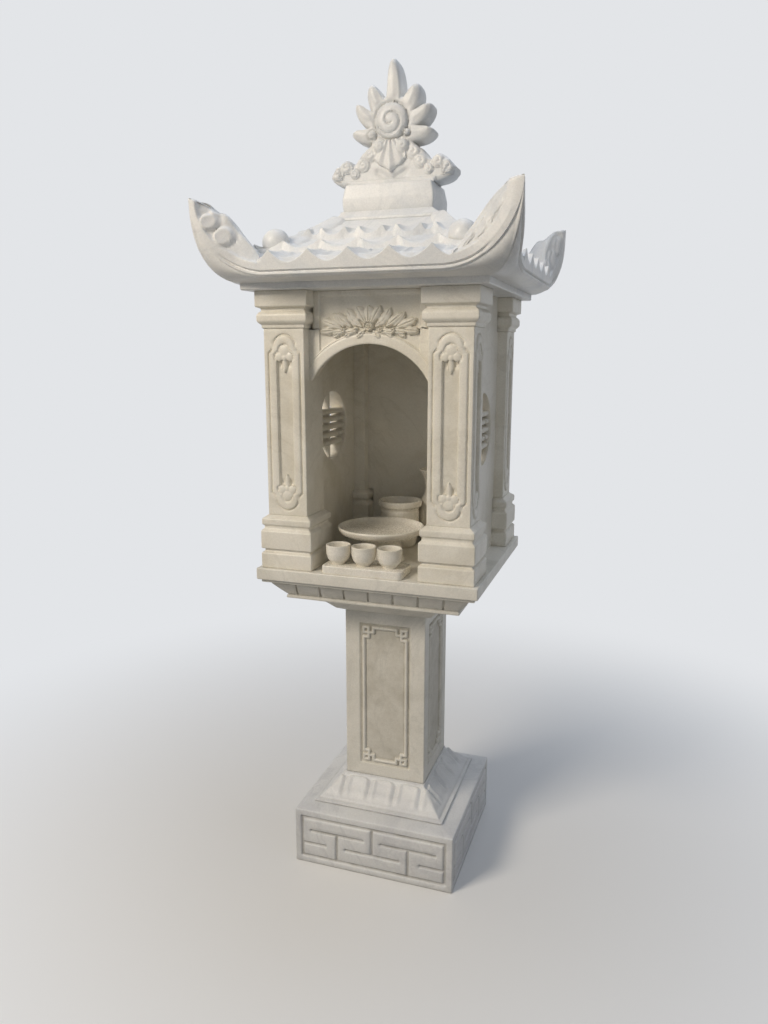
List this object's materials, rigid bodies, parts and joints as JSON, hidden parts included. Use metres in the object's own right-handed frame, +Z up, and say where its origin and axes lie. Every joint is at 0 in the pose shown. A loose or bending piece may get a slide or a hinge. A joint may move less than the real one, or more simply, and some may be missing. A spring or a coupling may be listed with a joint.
{
  "type": "wayside shrine",
  "caption": "Stone wayside shrine on one square pedestal, with an arched altar niche under an upturned tiled roof",
  "frame": {"origin": "centre of the base block's underside, on the ground", "axes": "+Z up, -Y out of the niche's open front, +X to the right seen from the front"},
  "size_m": [0.632, 0.632, 1.76],
  "materials": {
    "marble_plinth": "honed grey-veined white marble",
    "marble_pedestal": "honed ivory marble with a grey field",
    "marble_niche": "honed ivory marble",
    "marble_roof": "honed white marble",
    "marble_polished": "polished marble"
  },
  "bodies": {
    "root": {"arch_lintel": "marble_niche", "base_block": "marble_plinth", "column_base_back_left": "marble_niche", "column_base_back_right": "marble_niche", "column_base_front_left": "marble_niche", "column_base_front_right": "marble_niche", "column_capital_back_left": "marble_niche", "column_capital_back_right": "marble_niche", "column_capital_front_left": "marble_niche", "column_capital_front_right": "marble_niche", "column_shaft_back_left": "marble_niche", "column_shaft_back_right": "marble_niche", "column_shaft_front_left": "marble_niche", "column_shaft_front_right": "marble_niche", "cup_left": "marble_polished", "cup_middle": "marble_polished", "cup_right": "marble_polished", "cup_tray": "marble_polished", "finial": "marble_roof", "hip_ball_back_left": "marble_roof", "hip_ball_back_right": "marble_roof", "hip_ball_front_left": "marble_roof", "hip_ball_front_right": "marble_roof", "incense_bowl": "marble_polished", "lotus_foot": "marble_plinth", "offering_dish": "marble_polished", "pedestal_shaft": "marble_pedestal", "ridge_block": "marble_roof", "roof_body": "marble_roof", "roof_cap": "marble_roof", "table_corbel": "marble_niche", "table_slab": "marble_niche", "vase": "marble_polished", "wall_back": "marble_niche", "wall_left": "marble_niche", "wall_right": "marble_niche"}
  },
  "joints": []
}
